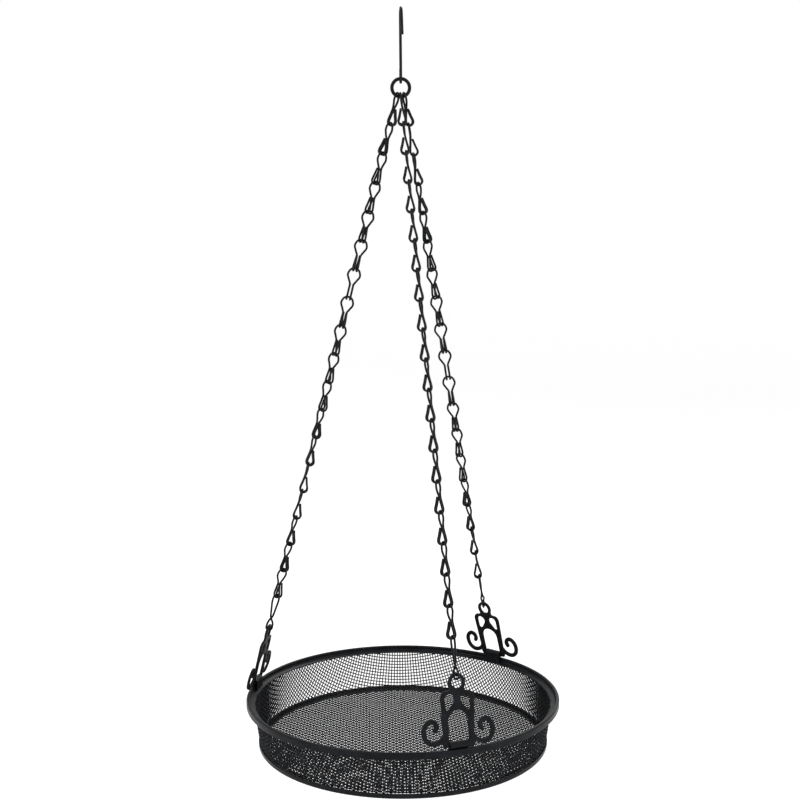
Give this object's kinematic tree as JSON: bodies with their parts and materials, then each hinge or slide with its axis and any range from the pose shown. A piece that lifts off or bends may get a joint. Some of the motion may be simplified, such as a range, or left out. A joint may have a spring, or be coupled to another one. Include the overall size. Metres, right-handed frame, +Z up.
{
  "type": "hanging mesh tray bird feeder",
  "caption": "Round wire-mesh seed tray hung by double jack chains and scroll brackets from a ring and an S-hook, all in black coated steel.",
  "frame": {"origin": "seat inside the top bend of the hook, where the feeder hangs", "axes": "+Z up the plumb line from the tray to the hook, +X to the right and +Y to the back as seen from the front; the hook lies in the Y-Z plane and the ring in the X-Z plane"},
  "size_m": [0.3008, 0.3, 0.6835],
  "materials": {
    "bent_wire": "semi-gloss black coating on bent round wire",
    "chain_wire": "semi-gloss black coating on thin chain wire",
    "bracket_plate": "satin black powder coat on cut plate",
    "band": "semi-gloss black powder coat on rolled and folded strip",
    "woven_mesh": "black powder coat over woven steel wire"
  },
  "bodies": {
    "hook": {"hook": "bent_wire"},
    "ring": {"ring": "bent_wire"},
    "tray": {"rim": "band", "mesh_pan": "woven_mesh", "base_hoop": "band", "front_clip": "band", "front_bracket": "bracket_plate", "rear_clip": "band", "rear_bracket": "bracket_plate", "left_clip": "band", "left_bracket": "bracket_plate"},
    "front_chain": {"front_chain_end_link": "chain_wire", "front_chain_link_07": "chain_wire", "front_chain_link_08": "chain_wire", "front_chain_link_09": "chain_wire", "front_chain_link_10": "chain_wire", "front_chain_link_11": "chain_wire", "front_chain_link_12": "chain_wire", "front_chain_link_13": "chain_wire", "front_chain_link_14": "chain_wire", "front_chain_link_15": "chain_wire", "front_chain_link_16": "chain_wire", "front_chain_link_17": "chain_wire", "front_chain_link_18": "chain_wire", "front_chain_links_01_02": "chain_wire", "front_chain_links_03_04": "chain_wire", "front_chain_links_05_06": "chain_wire"},
    "rear_chain": {"rear_chain_end_link": "chain_wire", "rear_chain_link_07": "chain_wire", "rear_chain_link_08": "chain_wire", "rear_chain_link_09": "chain_wire", "rear_chain_link_10": "chain_wire", "rear_chain_link_11": "chain_wire", "rear_chain_link_12": "chain_wire", "rear_chain_link_13": "chain_wire", "rear_chain_link_14": "chain_wire", "rear_chain_link_15": "chain_wire", "rear_chain_link_16": "chain_wire", "rear_chain_link_17": "chain_wire", "rear_chain_link_18": "chain_wire", "rear_chain_links_01_02": "chain_wire", "rear_chain_links_03_04": "chain_wire", "rear_chain_links_05_06": "chain_wire"},
    "left_chain": {"left_chain_end_link": "chain_wire", "left_chain_link_07": "chain_wire", "left_chain_link_08": "chain_wire", "left_chain_link_09": "chain_wire", "left_chain_link_10": "chain_wire", "left_chain_link_11": "chain_wire", "left_chain_link_12": "chain_wire", "left_chain_link_13": "chain_wire", "left_chain_link_14": "chain_wire", "left_chain_link_15": "chain_wire", "left_chain_link_16": "chain_wire", "left_chain_link_17": "chain_wire", "left_chain_link_18": "chain_wire", "left_chain_links_01_02": "chain_wire", "left_chain_links_03_04": "chain_wire", "left_chain_links_05_06": "chain_wire"}
  },
  "joints": [
    {"name": "ring_swing", "type": "hinge", "parent": "hook", "child": "ring", "pos_m": [0, 0, -0.0633], "axis": [0, 1, 0], "range_deg": [-40, 40]},
    {"name": "tray_swing", "type": "hinge", "parent": "ring", "child": "tray", "pos_m": [0, 0, -0.0757], "axis": [1, 0, 0], "range_deg": [-45, 45]},
    {"name": "front_chain_swing", "type": "hinge", "parent": "ring", "child": "front_chain", "pos_m": [0, 0, -0.0757], "axis": [1, 0, 0], "range_deg": [-45, 45]},
    {"name": "rear_chain_swing", "type": "hinge", "parent": "ring", "child": "rear_chain", "pos_m": [0, 0, -0.0757], "axis": [1, 0, 0], "range_deg": [-45, 45]},
    {"name": "left_chain_swing", "type": "hinge", "parent": "ring", "child": "left_chain", "pos_m": [0, 0, -0.0757], "axis": [1, 0, 0], "range_deg": [-45, 45]}
  ],
  "couplings": [
    {"joint": "front_chain_swing", "follows": "tray_swing", "ratio": 1},
    {"joint": "rear_chain_swing", "follows": "tray_swing", "ratio": 1},
    {"joint": "left_chain_swing", "follows": "tray_swing", "ratio": 1}
  ]
}
